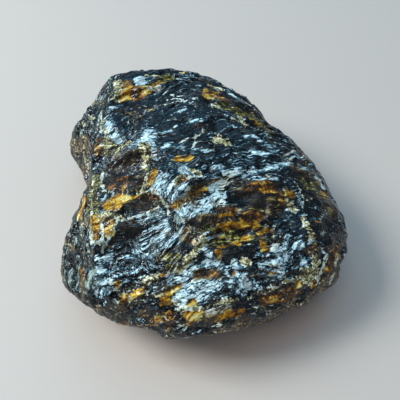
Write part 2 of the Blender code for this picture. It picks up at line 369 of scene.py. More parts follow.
        (1.0, (-9.2, -22.5), (-1.2, -16)),
    ),
    # Where the fibres turn from blue-grey to brown.
    "brown": (
        (3.5, (12.8, -12.5), (20.8, -14.5), (30.8, -14.5)),
        (2.5, (6.8, -22.5), (14.8, -24.5), (24.8, -25.5)),
        (3.0, (6.8, -35.5), (14.8, -31.5), (26.8, -31.5)),
        (3.0, (40.8, -1.5), (46.8, -6.5), (50.8, -9.5)),
        (3.0, (44.8, -13.5), (50.8, -19.5), (52.8, -27.5)),
        (2.5, (52.8, -29.5), (50.8, -37.5), (44.8, -46.5)),
        (3.0, (-34.2, -7.5), (-26.2, -9.5)),
        (2.5, (-35.2, -11.5), (-27.2, -12.5)),
        (2.0, (-25.2, -19), (-18.2, -20)),
        (2.0, (-28.2, -26.5), (-25.2, -29.5)),
        (2.0, (-11.2, -56.5), (0.8, -58.5), (12.8, -55.5)),
        (2.5, (16.8, -53.5), (26.8, -50.5), (35.8, -46.5)),
        (2.0, (-29.2, -52.5), (-21.2, -50.5)),
        (2.0, (-31.2, 36.5), (-25.2, 34.5)),
        (2.0, (3.8, 34.5), (9.8, 35.5)),
        (2.5, (10.8, 30.5), (20.8, 25.5), (28.8, 18.5)),
        (1.5, (-10.2, -22.5), (-3.2, -20.5)),
        (1.2, (-3.2, -16.5), (1.8, -13)),
        (2.0, (-1.2, 6.5), (6.8, 4.5)),
        (1.5, (-13.2, -40.5), (-5.2, -41.5)),
        (2.0, (-43.2, -15.5), (-44.2, -19.5)),
        (1.5, (-37.2, -27.5), (-34.2, -31.5)),
    ),
    # Granular breaks.
    "grain": (
        (4.0, (-36.2, -41.5), (-29.2, -43.5), (-19.2, -44.5)),
        (4.0, (-37.2, -48.5), (-27.2, -50.5), (-19.2, -52.5)),
        (2.0, (-39.2, -53.5), (-27.2, -57.5), (-17.2, -58.5)),
        (3.5, (12.8, -42.5), (24.8, -40.5), (33.8, -37.5)),
        (3.0, (12.8, -48.5), (22.8, -47.5), (32.8, -44.5)),
        (2.5, (22.8, -31.5), (30.8, -30.5), (36.8, -33.5)),
        (2.5, (34.8, -13.5), (36.8, -17.5)),
        (2.0, (-33.2, 8.5), (-25.2, 6.5), (-19.2, 5.5)),
        (1.5, (-14.2, 1.5), (-11.2, -4.5)),
        (1.5, (5.8, 12.5), (12.8, 8.5), (20.8, 8.5)),
        (2.0, (-9.2, -50.5), (-2.2, -53.5)),
        (1.5, (-24.2, 47.5), (-7.2, 47.5)),
        (2.0, (40.8, -37.5), (38.8, -41.5)),
    ),
    # Dark glass with few fibres.
    "smooth": (
        (4.5, (-33, 20), (-28, 25), (-14.5, 30.5), (0, 32.5)),
        (3.2, (-20, 17.5), (0, 23), (10.5, 26.5)),
        (2.0, (-2, 38), (-12, 35)),
        (2.5, (-13.5, 7.5), (0, 13.5)),
        (2.0, (2, 14), (16, 13.5)),
        (3.0, (15, 34), (26, 23)),
        (4.0, (36, -4.5), (54, -10)),
        (4.0, (40, -14), (54, -24)),
        (3.5, (47, -21), (53, -33)),
        (3.0, (32, -22), (43, -28)),
        (2.5, (24, -14), (33, -10.5)),
        (2.5, (12, -17.5), (24, -18)),
        (3.4, (-36, 1.3), (-24, -0.6)),
        (2.6, (-36, -2.8), (-24.5, -4.2)),
        (3.2, (-36, -7), (-25, -11)),
        (2.2, (-29, -21), (-18, -19.5)),
        (3.4, (-31, -30.5), (-26, -29.8), (-20, -29)),
        (1.6, (-24.5, -27.5), (-17, -28)),
        (1.4, (-18, -36.5), (-12.5, -34)),
        (1.5, (-8, -38), (-3, -37.5)),
        (1.6, (2, -27.5), (7, -25)),
        (2.0, (14, -53), (33, -45)),
    ),
}
# Round pits: middle x, y, radius, depth. Their walls run from the rim to the floor, in radii.
PIT_WALL = (1.1, 0.5)
PITS = (
    (-31, -51.5, 1.7, 1.6),
    (-23.2, -47.5, 1.2, 0.8),
    (-35.2, -45.5, 1.6, 0.9),
    (-14.2, -48, 1.2, 0.9),
    (8.8, -47.5, 1.2, 0.8),
    (27.8, -41.5, 1.4, 0.9),
    (-20.2, -54.5, 1.2, 0.9),
)
# A shell-like fan of rays: where they would meet, their middle bearing in degrees, how near to that point
# and how far from it they lie, and how far they open either way, in radians.
FAN_ROOT = (4.8, -21.5)
FAN_BEARING = 208
FAN_START = 13
FAN_REACH = 34
FAN_OPENING = 0.42
# The fan's soft borders, as shares of its opening, its reach and its start.
FAN_SIDES = (1.4, 1)
FAN_TIPS = (1, 0.85)
FAN_STARTS = (0.8, 1.1)
# Inside it: layers to a radian in mm, how much its rays are drawn out, and their share of the layers' warp.
FAN_SPREAD = 22
FAN_DRAW = 0.45
FAN_WARP = 0.5
# Where the layers turn: middle x, y, radius, and the heading of their lines seen from above, in degrees.
# They turn fully within the second of these shares of the radius.
TURN_BORDER = (1, 0.7)
TURNS = (
    (-12, -14.5, 11, 52),
    (-2, -24.5, 9, 48),
    (-35, 15.5, 9, 60),
)

# Colours, dark to light: the tone at which each is reached, and the colour in linear RGB.
PALETTES = {
    # Blue-grey fibre: its blue and teal cast is partly a painted reflection of the bluish sky.
    "fibre with blue sheen": (
        (-0.4, (0.004, 0.008, 0.012)),
        (0.0, (0.008, 0.018, 0.028)),
        (0.3, (0.022, 0.052, 0.072)),
        (0.55, (0.064, 0.13, 0.165)),
        (0.82, (0.30, 0.49, 0.53)),
        (1.0, (0.82, 0.96, 0.95)),
    ),
    "brown fibre": (
        (-0.4, (0.005, 0.003, 0.002)),
        (0.0, (0.014, 0.007, 0.004)),
        (0.3, (0.036, 0.021, 0.009)),
        (0.55, (0.10, 0.085, 0.045)),
        (0.82, (0.32, 0.36, 0.27)),
        (1.0, (0.90, 0.92, 0.78)),
    ),
    "umber": (
        (-0.7, (0.009, 0.005, 0.002)),
        (-0.2, (0.038, 0.020, 0.005)),
        (0.4, (0.11, 0.058, 0.013)),
        (1.0, (0.36, 0.26, 0.11)),
    ),
    "olive": (
        (-0.4, (0.012, 0.009, 0.004)),
        (0.0, (0.060, 0.042, 0.008)),
        (0.3, (0.27, 0.21, 0.015)),
        (0.6, (0.80, 0.74, 0.22)),
    ),
    "gold": (
        (-0.50, (0.040, 0.014, 0.001)),
        (-0.22, (0.25, 0.10, 0.002)),
        (0.05, (0.60, 0.24, 0.003)),
        (0.28, (1.0, 0.53, 0.005)),
        (0.52, (1.0, 0.90, 0.35)),
    ),
    "ember": (
        (-0.40, (0.016, 0.006, 0.002)),
        (-0.05, (0.07, 0.024, 0.003)),
        (0.20, (0.29, 0.088, 0.004)),
        (0.40, (0.62, 0.25, 0.010)),
        (0.60, (0.95, 0.66, 0.10)),
    ),
    "cool rind": (
        (-0.5, (0.006, 0.007, 0.008)),
        (0.0, (0.014, 0.019, 0.019)),
        (0.30, (0.048, 0.060, 0.050)),
        (0.55, (0.20, 0.23, 0.18)),
        (0.80, (0.80, 0.86, 0.80)),
    ),
    "brown rind": (
        (-0.5, (0.008, 0.004, 0.002)),
        (0.0, (0.030, 0.013, 0.004)),
        (0.25, (0.10, 0.052, 0.013)),
        (0.50, (0.36, 0.27, 0.11)),
        (0.75, (0.90, 0.84, 0.62)),
    ),
    "crust": (
        (-0.50, (0.018, 0.016, 0.010)),
        (-0.20, (0.09, 0.08, 0.030)),
        (0.05, (0.42, 0.32, 0.11)),
        (0.30, (0.82, 0.71, 0.37)),
        (0.55, (1.0, 0.98, 0.86)),
    ),
    "vein": (
        (-0.6, (0.22, 0.20, 0.08)),
        (0.4, (0.85, 0.86, 0.74)),
    ),
    "thread": (
        (-0.2, (0.08, 0.13, 0.15)),
        (0.3, (0.54, 0.68, 0.70)),
    ),
    # Specks: white chips, partly painted glints.
    "speck": (
        (-0.3, (0.45, 0.52, 0.50)),
        (0.3, (0.95, 1.0, 0.98)),
    ),
}
# What the colours are multiplied by on the flank, and where dark fibre has a plum cast.
FLANK_TINT = (0.56, 0.56, 0.47)
PLUM_TINT = (1.20, 0.90, 1.05)
# Roughness of each kind of amber. That of dark fibre wanders between two values.
FIBRE_ROUGHNESS = (0.10, 0.18)
CALM_ROUGHNESS = 0.07
STAINED_ROUGHNESS = 0.14
PALE_ROUGHNESS = 0.22
CRUST_ROUGHNESS = 0.34
STAINED_CLEARNESS = 0.2  # stained and brown glass lets this share of the light in, and dark glass all of it
AMBER_IOR = 1.54
ABSORBED_COLOUR = (0.85, 0.38, 0.05, 1)
ABSORPTION = 450.0  # per metre
BUMP_HEIGHT = 0.25
LINE_CORE = 0.4  # a thin line is at full strength within this share of its width
# How far chips turn the surface, and the share of that which glassy places keep.
SPLINTER_TILT = 0.32
FLAKE_TILT = 0.35
CRUMB_TILT = 0.18
GLASSY_TILT = 0.24

FLOOR_SIZE = 6  # metres
FLOOR_COLOUR = (0.66, 0.53, 0.45)
FLOOR_ROUGHNESS = 0.6
SKY_COLOUR = (0.40, 0.56, 0.74, 1)
SKY_STRENGTH = 0.34
# Square lamps: bearing from +X towards +Y and height in degrees, distance and side in metres, radiance and
# colour.
LAMPS = {
    "window": (172, 45, 1.2, 0.5, 19, (0.80, 0.94, 1.0)),
    "sky": (100, 62, 1.4, 1.6, 1.1, (0.22, 0.64, 1.0)),
    "overhead": (250, 75, 1.3, 0.8, 1.2, (1.0, 0.86, 0.72)),
}
CAMERA_ELEVATION = 55  # degrees
CAMERA_DISTANCE = 0.2335  # metres
CAMERA_AIM_HEIGHT = 0.0224  # metres
CAMERA_LENS = 48.6
SENSOR_WIDTH = 36


def hashed(cells, seed):
    """Three pseudo-random numbers from -1 to 1 for each whole-numbered cell."""
    x, y, z = (cells * STIR_PLACE).T
    mixed = (x ^ y ^ z ^ (seed * STIR_SEED)) & 0xFFFFFFFF
    mixed = ((mixed ^ (mixed >> 13)) * STIR_AGAIN) & 0xFFFFFFFF
    mixed ^= mixed >> 16
    return np.stack([(mixed >> shift & 1023) / 511.5 - 1 for shift in (0, 10, 20)], 1)


def noise(points, size, seed):
    """Gradient noise between about -1 and 1. size is one number, or one for each axis."""
    places = points / np.asarray(size)
    cells = np.floor(places).astype(np.int64)
    inside = places - cells
    eased = inside**3 * (inside * (inside * 6 - 15) + 10)
    total = np.zeros(len(points))
    for corner in itertools.product((0, 1), repeat=3):
        slope = ((inside - corner) * hashed(cells + corner, seed)).sum(1)
        total += np.where(corner, eased, 1 - eased).prod(1) * slope
    return total * NOISE_GAIN


def facets(points, size, seed):
    """Height of flat chips that tilt at random, one to a cell, in shares of the cell's size."""
    places = points / np.asarray(size)
    cells = np.floor(places).astype(np.int64)
    distances, heights = [], []
    for step in itertools.product((-1, 0, 1), repeat=3):
        neighbour = cells + step
        offset = places - (neighbour + 0.5 + CHIP_JITTER * hashed(neighbour, seed))
        distances.append((offset**2).sum(1))
        heights.append((offset * hashed(neighbour, seed + 1)).sum(1))
    distances = np.array(distances)
    weights = np.exp(-CHIP_CRISPNESS * (distances - distances.min(0)))
    return (weights * heights).sum(0) / weights.sum(0)


def raised(pattern, places, kind):
    """One kind of relief, from its height, size and seed."""
    height, size, seed = kind
    return height * pattern(places, size, seed)


def ledge(across, face):
    """A saw: slow rise over a layer, steep drop at its broken edge. From -0.5 to 0.5."""
    share = across % 1
    return np.minimum(share / (1 - face), (1 - share) / face) - 0.5


def depth_inside(points, strokes):
    """How far each point is inside the nearest stroke, seen from above. Below 0 outside."""
    best = np.full(len(points), -FURTHEST)
    for half_width, *route in strokes:
        for start, end in itertools.pairwise(route):
            run = np.subtract(end, start)
            offset = points[:, :2] - start
            share = np.clip(offset @ run / (run @ run), 0, 1)
            distance = np.hypot(*(offset - share[:, None] * run).T)
            best = np.maximum(best, half_width - distance)
    return best


def smooth_step(low, high, values):
    t = np.clip((values - low) / (high - low), 0, 1)
    return t * t * (3 - 2 * t)


def fine_copy():
    """The node's mesh as small even quads, slightly eased."""
    piece = bpy.data.objects.new("amber_lump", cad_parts[NODE].data.copy())
    bpy.context.scene.collection.objects.link(piece)
    form = bmesh.new()
    form.from_mesh(piece.data)
    bmesh.ops.remove_doubles(form, verts=form.verts, dist=1e-6)
    form.to_mesh(piece.data)
    form.free()
    remesh = piece.modifiers.new("remesh", "REMESH")
    remesh.mode = "VOXEL"
    remesh.voxel_size = VOXEL * MM
    ease = piece.modifiers.new("ease", "SMOOTH")
    ease.iterations = EASE_STEPS
    apply_modifiers(piece)
    return piece


def apply_modifiers(piece):
    graph = bpy.context.evaluated_depsgraph_get()
    made = bpy.data.meshes.new_from_object(piece.evaluated_get(graph))
    piece.modifiers.clear()
    old = piece.data
    piece.data = made
    bpy.data.meshes.remove(old)


def vectors(mesh, collection, kind):
    values = np.empty(len(collection) * 3, np.float32)
    collection.foreach_get(kind, values)
    return values.reshape(-1, 3).astype(float)


def layer_places(points, normals):
    """(across, along, side) of each point in the layers, which warp, turn in places and fan out in one."""
    warp = raised(noise, points, LAYER_WARP) + raised(noise, points, LAYER_CRINKLE)
    across = points @ ACROSS + raised(noise, points, LAYER_SWAY) + warp
    places = np.stack([across, points @ ALONG, points @ SIDE], 1)
    for x, y, radius, heading in TURNS:
        turn = math.radians(heading)
        offset = points[:, :2] - (x, y)
        turned_across = offset @ (-math.sin(turn), math.cos(turn)) + warp
        turned = np.stack([turned_across, offset @ (math.cos(turn), math.sin(turn)), points[:, 2]], 1)
        places = merged(places, turned, smooth_step(*TURN_BORDER, np.hypot(*offset.T) / radius))
    rays, share = fan(points, warp)
    places = merged(places, rays, share)
    flank = np.stack([points @ FLANK_ACROSS + warp, points @ FLANK_ALONG, points @ FLANK_SIDE], 1)
    return merged(places, flank, smooth_step(*FLANK_FACING, normals[:, 0]))


def fan(points, warp):
    """Places in the fan, whose layers run like rays, and how far each point belongs to it."""
    offset = points[:, :2] - FAN_ROOT
    reach = np.hypot(*offset.T)
    bearing = np.arctan2(offset[:, 1], offset[:, 0]) - math.radians(FAN_BEARING)
    bearing = (bearing + math.pi) % (2 * math.pi) - math.pi
    rays = np.stack([FAN_SPREAD * bearing + FAN_WARP * warp, FAN_DRAW * reach, points[:, 2]], 1)
    sides = smooth_step(*FAN_SIDES, np.abs(bearing) / FAN_OPENING)
    tips = smooth_step(*FAN_TIPS, reach / FAN_REACH)
    starts = smooth_step(*FAN_STARTS, reach / FAN_START)
    return rays, sides * tips * starts


def merged(places, others, share):
    """places, with others in their stead where share is 1, slid so that the two meet."""
    inside = share > WELL_INSIDE
    slid = others + (places[inside] - others[inside]).mean(0)
    return places + (slid - places) * share[:, None]


def relief(points, normals, fields, layers):
    """Height of the fine surface above the solid's plain one."""
    top = smooth_step(*TOP_FACING, normals[:, 2])
    calm = 1 - CALM_LOSS * smooth_step(*CALM_BORDER, fields["smooth"])
    steps = 0
    for drop, pitch, face, coming_and_going in LEDGES:
        strength = np.clip(LEDGE_STRENGTH + raised(noise, points, coming_and_going), 0, 1)
        steps = steps + drop * ledge(layers[:, 0] / pitch, face) * strength
    chips = raised(facets, layers, SPLINTERS) + raised(facets, points, FLAKES)
    fibres = raised(noise, layers, THIN_FIBRES) + raised(noise, layers, THICK_FIBRES)
    grains = raised(facets, points, GRAINS) * smooth_step(*GRAIN_BORDER, fields["grain"])
    crumbs = raised(noise, points, CRUST_CRUMBS) + raised(noise, points, CRUST_LUMPS)
    crust = crumbs * smooth_step(*CRUST_BORDER, fields["crust"])
    rind_chips = raised(facets, points, RIND_FLAKES) + raised(facets, points, RIND_CHIPS)
    rind = rind_chips + raised(noise, points, RIND_LUMPS)
    height = top * (calm * (steps + chips + fibres) + grains) + (1 - top) * rind + crust
    for x, y, radius, depth in PITS:
        away = np.hypot(points[:, 0] - x, points[:, 1] - y) / radius
        height -= depth * smooth_step(*PIT_WALL, away) * top
    return height


def bend(mesh, points, normals):
    """How convex the surface is at each point: above 0 on crests and below 0 in cracks, in 1/mm."""
    edges = np.empty(len(mesh.edges) * 2, np.int32)
    mesh.edges.foreach_get("vertices", edges)
    starts, ends = edges.reshape(-1, 2).T
    total = np.zeros_like(points)
    count = np.bincount(edges, minlength=len(points))
    for axis in range(3):
        after = np.bincount(starts, points[ends, axis], len(points))
        before = np.bincount(ends, points[starts, axis], len(points))
        total[:, axis] = after + before
    lift = points - total / count[:, None]
    return (lift * normals).sum(1) / VOXEL**2


def store(mesh, name, values):
    kind, key = ("FLOAT_VECTOR", "vector") if values.ndim == 2 else ("FLOAT", "value")
    attribute = mesh.attributes.new(name, kind, "POINT")
    attribute.data.foreach_set(key, values.astype(np.float32).ravel())


def lump():
    """The dressed lump, with what its material needs to know stored at each point."""
    piece = fine_copy()
    mesh = piece.data
    points = vectors(mesh, mesh.vertices, "co") / MM
    normals = vectors(mesh, mesh.vertex_normals, "vector")
    fields = {name: depth_inside(points, strokes) for name, strokes in MARKS.items()}
    turned_down = smooth_step(*UNDERSIDE_FACING, normals[:, 2])
    fields = {name: field - FURTHEST * turned_down for name, field in fields.items()}
    layers = layer_places(points, normals)
    fade = np.clip(points[:, 2] / RESTING_FADE, 0, 1)
    points = points + (relief(points, normals, fields, layers) * fade)[:, None] * normals
    low, high = (np.array(corner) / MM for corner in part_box(NODE))
    points = np.clip(points, low, high)
    mesh.vertices.foreach_set("co", (points * MM).astype(np.float32).ravel())
    mesh.update()
    broken = vectors(mesh, mesh.vertex_normals, "vector")
    for name, field in fields.items():
        store(mesh, name, field)
    store(mesh, "rind", smooth_step(*RIND_FACING, normals[:, 2]))
    # How far the broken surface turns towards the light: the colours use it to paint highlights.
    store(mesh, "tread", (broken - normals) @ LIGHT_FACING)
    store(mesh, "layer", layers)
    store(mesh, "crest", bend(mesh, points, broken))
    store(mesh, "flank", smooth_step(*FLANK_FACING, normals[:, 0]))
    thin = piece.modifiers.new("thin", "DECIMATE")
    thin.ratio = min(1, MOST_TRIANGLES / (2 * len(mesh.polygons)))
    apply_modifiers(piece)
    piece.data.shade_smooth()
    return piece


class Nodes:
    """Short ways to add shader nodes to one material."""

    def __init__(self, name):
        self.material = bpy.data.materials.new(name)
        self.material.use_nodes = True
        self.tree = self.material.node_tree
        self.tree.nodes.clear()
        self.place = self.add("ShaderNodeTexCoord").outputs["Object"]

    def add(self, kind, inputs=(), **settings):
        node = self.tree.nodes.new(kind)
        for key, value in settings.items():
            setattr(node, key, value)
        for key, value in dict(inputs).items():
            if isinstance(value, bpy.types.NodeSocket):
                self.tree.links.new(value, node.inputs[key])
            elif value is not None:
                node.inputs[key].default_value = value
        return node

    def attribute(self, name, output="Fac"):
        return self.add("ShaderNodeAttribute", attribute_name=name).outputs[output]

    def math(self, operation, a, b=0.5, c=0.5):
        return self.add("ShaderNodeMath", {0: a, 1: b, 2: c}, operation=operation).outputs[0]

    def times(self, a, b):
        return self.math("MULTIPLY", a, b)

    def most(self, greatest, *others):
        """The greatest of some numbers."""
        for other in others:
            greatest = self.math("MAXIMUM", greatest, other)
        return greatest

    def sum(self, *terms):
        """Adds numbers, each times its weight."""
        total = 0.0
        for weight, value in terms:
            total = self.math("MULTIPLY_ADD", value, weight, total)
        return total

    def vector(self, operation, a, b=None):
        return self.add("ShaderNodeVectorMath", {0: a, 1: b}, operation=operation).outputs[0]

    def vector_sum(self, *terms):
        """Adds vectors, each times its weight."""
        total = (0.0, 0.0, 0.0)
        for weight, value in terms:
            inputs = {0: value, 1: (weight,) * 3, 2: total}
            total = self.add("ShaderNodeVectorMath", inputs, operation="MULTIPLY_ADD").outputs[0]
        return total

    def scaled(self, vector, by):
        return self.add("ShaderNodeVectorMath", {0: vector, "Scale": by}, operation="SCALE").outputs[0]

    def texture(self, places, scale, detail, rough):
        """Noise from -1 to 1."""
        inputs = {"Vector": places, "Scale": scale, "Detail": detail, "Roughness": rough}
        made = self.add("ShaderNodeTexNoise", inputs)
        return self.math("MULTIPLY_ADD", made.outputs["Fac"], 2.0, -1.0)

    def noise(self, size, detail=2.0, rough=0.5):
        """Noise from -1 to 1. size is in mm."""
        return self.texture(self.place, 1 / (size * MM), detail, rough)

    def drawn(self, across, along):
        """Places in the layers, in steps of that many mm across and along them."""
        return self.vector("MULTIPLY", self.attribute("layer", "Vector"), (1 / across, 1 / along, 2 / along))

    def streaks(self, across, along, detail=3.0, rough=0.55):
        """Noise from -1 to 1, drawn out along the layers."""
        return self.texture(self.drawn(across, along), 1.0, detail, rough)

    def line(self, value, width):
        """1 on the thin lines where value crosses 0, and 0 beyond them."""
        return self.step(self.math("ABSOLUTE", value), width, LINE_CORE * width)

    def chips(self, places, scale=1.0):
        """For each chip: a random tilt, from -0.5 to 0.5 each way, and two random numbers from -1 to 1."""
        texture = self.add("ShaderNodeTexVoronoi", {"Vector": places, "Scale": scale})
        colour = texture.outputs["Color"]
        channels = self.add("ShaderNodeSeparateColor", {0: colour}).outputs
        return SimpleNamespace(
            tilt=self.vector("SUBTRACT", colour, (0.5, 0.5, 0.5)),
            chance=self.math("MULTIPLY_ADD", channels[0], 2.0, -1.0),
            tone=self.math("MULTIPLY_ADD", channels[1], 2.0, -1.0),
        )

    def step(self, value, low, high):
        """0 below low, 1 above high, smooth between."""
        inputs = {"Value": value, "From Min": low, "From Max": high}
        return self.add("ShaderNodeMapRange", inputs, interpolation_type="SMOOTHSTEP").outputs[0]

    def ramp(self, tone, palette):
        """A palette's colour for each tone from -1 to 1."""
        stops = PALETTES[palette]
        share = self.math("MULTIPLY_ADD", tone, 0.5, 0.5)
        node = self.add("ShaderNodeValToRGB", {"Fac": share})
        elements = node.color_ramp.elements
        while len(elements) < len(stops):
            elements.new(0.5)
        for element, (position, colour) in zip(elements, stops):
            element.position = position / 2 + 0.5
            element.color = (*colour, 1)
        return node.outputs["Color"]

    def mix(self, share, a, b):
        """Mixes two colours."""
        return self.add("ShaderNodeMix", {"Factor": share, 6: a, 7: b}, data_type="RGBA").outputs[2]

    def blend(self, share, a, b):
        """Mixes two numbers."""
        return self.add("ShaderNodeMix", {"Factor": share, 2: a, 3: b}, data_type="FLOAT").outputs[0]

    def outside(self, share, value):
        """value where share is 0, and 0 where it is 1."""
        return self.blend(share, value, 0.0)


# Below, n adds nodes to the amber's material, p holds its patterns and z its zones.
def patterns(n):
    """Noises, streaks and chips that the colours, the gloss and the bumps share.

    Their first numbers are sizes in mm: one for a noise, and two for streaks, across and along the layers.
    """
    p = SimpleNamespace()
    p.broad = n.noise(9, 3)
    p.medium = n.noise(3, 3, 0.6)
    p.fine = n.noise(1.3, 1, 0.6)
    p.grit = n.noise(0.75, 1, 0.5)
    p.mote = n.noise(0.55, 1, 0.5)
    p.band = n.streaks(1.5, 14, 3, 0.6)
    p.flow = n.streaks(2.4, 8, 1, 0.5)
    p.shred = n.streaks(1.0, 6, 2, 0.6)
    p.silk = n.streaks(0.65, 6.5, 1, 0.5)
    p.hair = n.streaks(0.5, 4, 0, 0.5)
    p.dash = n.streaks(0.65, 2.0, 1, 0.5)
    p.long_lines = n.most(n.line(n.streaks(1.5, 20, 2), 0.05), n.line(n.streaks(0.9, 11, 2), 0.05))
    # Chips of the broken surface: thin splinters and broader flakes along the layers, and round crumbs.
    p.splinter = n.chips(n.drawn(0.75, 2.2))
    p.flake = n.chips(n.drawn(1.7, 5.0))
    p.crumb = n.chips(n.place, 1 / (1.1 * MM))
    # Turn of the broken surface towards the light, for painted highlights.
    p.tread = n.attribute("tread")
    p.crest = n.attribute("crest")
    return p


def zones(n, p):
    """How fully each kind of amber shows at a place: 1 inside it and 0 outside, with ragged borders."""
    z = SimpleNamespace()
    z.calm = n.step(n.sum((1.0, n.attribute("smooth")), (0.8, p.band)), -1.0, 0.8)
    # Frost strokes: pale silky fibres, partly painted highlight and bluish sheen.
    z.frosted = n.step(n.attribute("frost"), -1.3, 0.9)
    z.grainy = n.step(n.sum((1.0, n.attribute("grain")), (0.8, p.medium)), -0.8, 0.8)
    brown_reach = n.sum((0.25, n.attribute("brown")), (0.8, p.broad), (0.8, p.band), (0.4, p.medium))
    z.brown = n.step(brown_reach, -0.40, 0.10)
    z.plum = n.step(n.sum((1.0, n.noise(13, 2)), (0.3, p.medium)), 0.0, 0.25)

    ragged = n.sum((0.8, p.medium), (1.2, p.flow), (0.8, p.shred), (0.8, p.dash))
    gold_reach = n.sum((1.0, n.attribute("gold")), (1.0, ragged))
    z.gold = n.step(gold_reach, -0.40, 0.0)
    z.ember = n.step(n.sum((1.0, n.attribute("ember")), (1.0, ragged)), -0.70, 0.20)
    z.windows = n.most(z.gold, z.ember)
    # Brown glass also rims the golden windows.
    z.umber = n.step(n.most(n.sum((1.0, n.attribute("umber")), (1.0, ragged)), gold_reach), -1.1, -0.3)
    olive_reach = n.sum((0.6, n.attribute("olive")), (0.4, p.medium), (0.2, p.flake.chance), (0.3, p.dash))
    z.olive = n.step(olive_reach, -0.25, 0.1)

    rind_reach = n.sum(
        (0.8, n.attribute("rind")), (1.2, n.noise(12, 2)),
        (0.4, p.medium), (0.5, p.flow), (0.12, p.crumb.chance),
    )
    z.rind = n.step(rind_reach, 0.43, 0.58)
    crust_reach = n.sum(
        (0.7, n.attribute("crust")), (0.15, p.crumb.chance),
        (0.7, p.medium), (0.7, p.fine), (0.7, p.flow), (0.5, p.grit),
    )
    z.crust = n.step(crust_reach, 0.0, 0.2)
    z.vein = n.step(n.sum((1.0, n.attribute("vein")), (0.2, p.crumb.chance), (0.5, p.fine)), -0.05, 0.08)
    # Pale specks lie in swarms, most of all along broken edges and on facets turned towards the light:
    # partly white chips, partly painted glints.
    swarm = n.sum(
        (0.9, p.grit), (1.2, p.dash), (0.5, p.medium), (0.5, p.crest), (0.5, p.tread),
        (-0.4, z.calm), (-0.4, z.windows),
    )
    z.speck = n.step(swarm, 0.80, 0.95)
    # Calm glass still shows a few thin fibres, broken here and there.
    few = n.step(n.sum((1.0, p.medium), (0.6, p.flow)), -0.20, 0.30)
    threads = n.most(n.line(n.streaks(1.1, 8, 2), 0.12), n.line(n.streaks(0.7, 5, 1), 0.10))
    threads = n.times(threads, n.step(n.sum((1.0, p.dash), (0.5, p.silk)), 0.02, 0.22))
    z.thread = n.times(n.times(n.outside(z.umber, z.calm), few), threads)
    return z


def fibre_tone(n, p, z):
    """Silky fibres: dark glass between them, pale where they stand up to the light, which is a painted
    highlight.
    """
    fibre = n.most(n.line(n.streaks(1.1, 8, 2), 0.10), n.line(n.streaks(0.8, 4.5, 2), 0.10))
    pale_fibre = n.times(fibre, n.step(n.sum((1.0, p.dash), (0.6, p.silk)), -0.05, 0.15))
    drawn = n.sum(
        (0.6, p.silk), (0.6, p.hair), (0.45, p.dash), (0.15, p.grit),
        (0.05, p.splinter.tone), (0.5, pale_fibre),
    )
    crumpled = n.sum((0.18, p.crumb.tone), (0.5, p.fine), (0.7, p.grit), (0.8, p.mote), (0.4, p.dash))
    detail = n.blend(n.most(z.grainy, n.times(z.frosted, 0.3)), drawn, crumpled)
    smoothed = n.most(n.times(z.calm, 0.4), n.times(z.frosted, 0.2))
    detail = n.times(detail, n.blend(smoothed, 0.9, 0.0))
    cracks = n.most(n.line(n.streaks(1.3, 7, 2), 0.09), n.line(n.streaks(0.8, 4.5, 1), 0.07))
    # Painted highlights raise the tone on facets turned towards the light and in the frost strokes, which
    # stand for glints and sheen as well as pale fibres. The crest term makes crests a little paler and
    # cracks darker.
    return n.sum(
        (1.0, detail), (0.7, p.band), (0.6, p.flow), (0.4, p.medium), (0.5, p.broad), (0.7, p.tread),
        (0.1, p.crest), (1.25, z.frosted), (0.25, z.grainy), (-0.55, z.calm), (0.4, p.long_lines),
        (-0.9, n.times(z.frosted, cracks)), (-0.16, 1.0),
    )


def rind_colour(n, p, ember):
    """The weathered skin, blue-grey and brown by turns, with spots of ember."""
    tone = n.sum(
        (0.15, p.crumb.tone), (0.5, p.medium), (0.6, p.fine), (1.0, p.grit), (0.4, p.broad), (0.5, p.dash)
    )
    browned = n.step(n.sum((1.0, p.broad), (0.5, p.medium)), -0.15, 0.15)
    spots = n.step(n.sum((1.0, n.noise(7, 2)), (0.5, p.flow)), 0.20, 0.45)
    rind = n.mix(browned, n.ramp(tone, "cool rind"), n.ramp(tone, "brown rind"))
    return n.mix(spots, rind, ember)


def amber_colour(n, p, z, tone, pale):
    """The fibres' colour, with that of each other kind of amber laid over it in turn."""
    # The olive, gold, ember and crust tones are raised on facets turned towards the light: a painted
    # highlight.
    olive_tone = n.sum(
        (0.8, p.silk), (0.8, p.dash), (0.5, p.grit), (0.15, p.splinter.tone),
        (0.4, p.medium), (0.5, p.tread),
    )
    gold_tone = n.sum(
        (0.9, p.flow), (0.8, p.shred), (0.6, p.silk), (0.4, p.grit),
        (0.6, p.medium), (0.5, p.tread), (-0.03, 1.0),
    )
    crust_tone = n.sum(
        (0.10, p.crumb.tone), (0.4, p.medium), (0.6, p.fine), (0.5, p.grit),
        (0.8, p.mote), (0.6, p.flow), (0.5, p.silk), (0.4, p.tread),
    )
    ember = n.ramp(gold_tone, "ember")
    # Blue-grey fibre, whose cast is partly a painted bluish reflection, turns brown in the brown zone.
    colour = n.mix(z.brown, n.ramp(tone, "fibre with blue sheen"), n.ramp(tone, "brown fibre"))
    colour = n.mix(n.attribute("flank"), colour, n.vector("MULTIPLY", colour, FLANK_TINT))
    colour = n.mix(n.outside(pale, z.plum), colour, n.vector("MULTIPLY", colour, PLUM_TINT))
    colour = n.mix(z.umber, colour, n.ramp(tone, "umber"))
    colour = n.mix(z.thread, colour, n.ramp(p.grit, "thread"))
    colour = n.mix(z.olive, colour, n.ramp(olive_tone, "olive"))
    colour = n.mix(z.ember, colour, ember)
    colour = n.mix(z.gold, colour, n.ramp(gold_tone, "gold"))
    colour = n.mix(z.rind, colour, rind_colour(n, p, ember))
    colour = n.mix(z.crust, colour, n.ramp(crust_tone, "crust"))
    colour = n.mix(z.vein, colour, n.ramp(p.crumb.tone, "vein"))
    # Specks, partly painted glints.
    return n.mix(z.speck, colour, n.ramp(p.fine, "speck"))


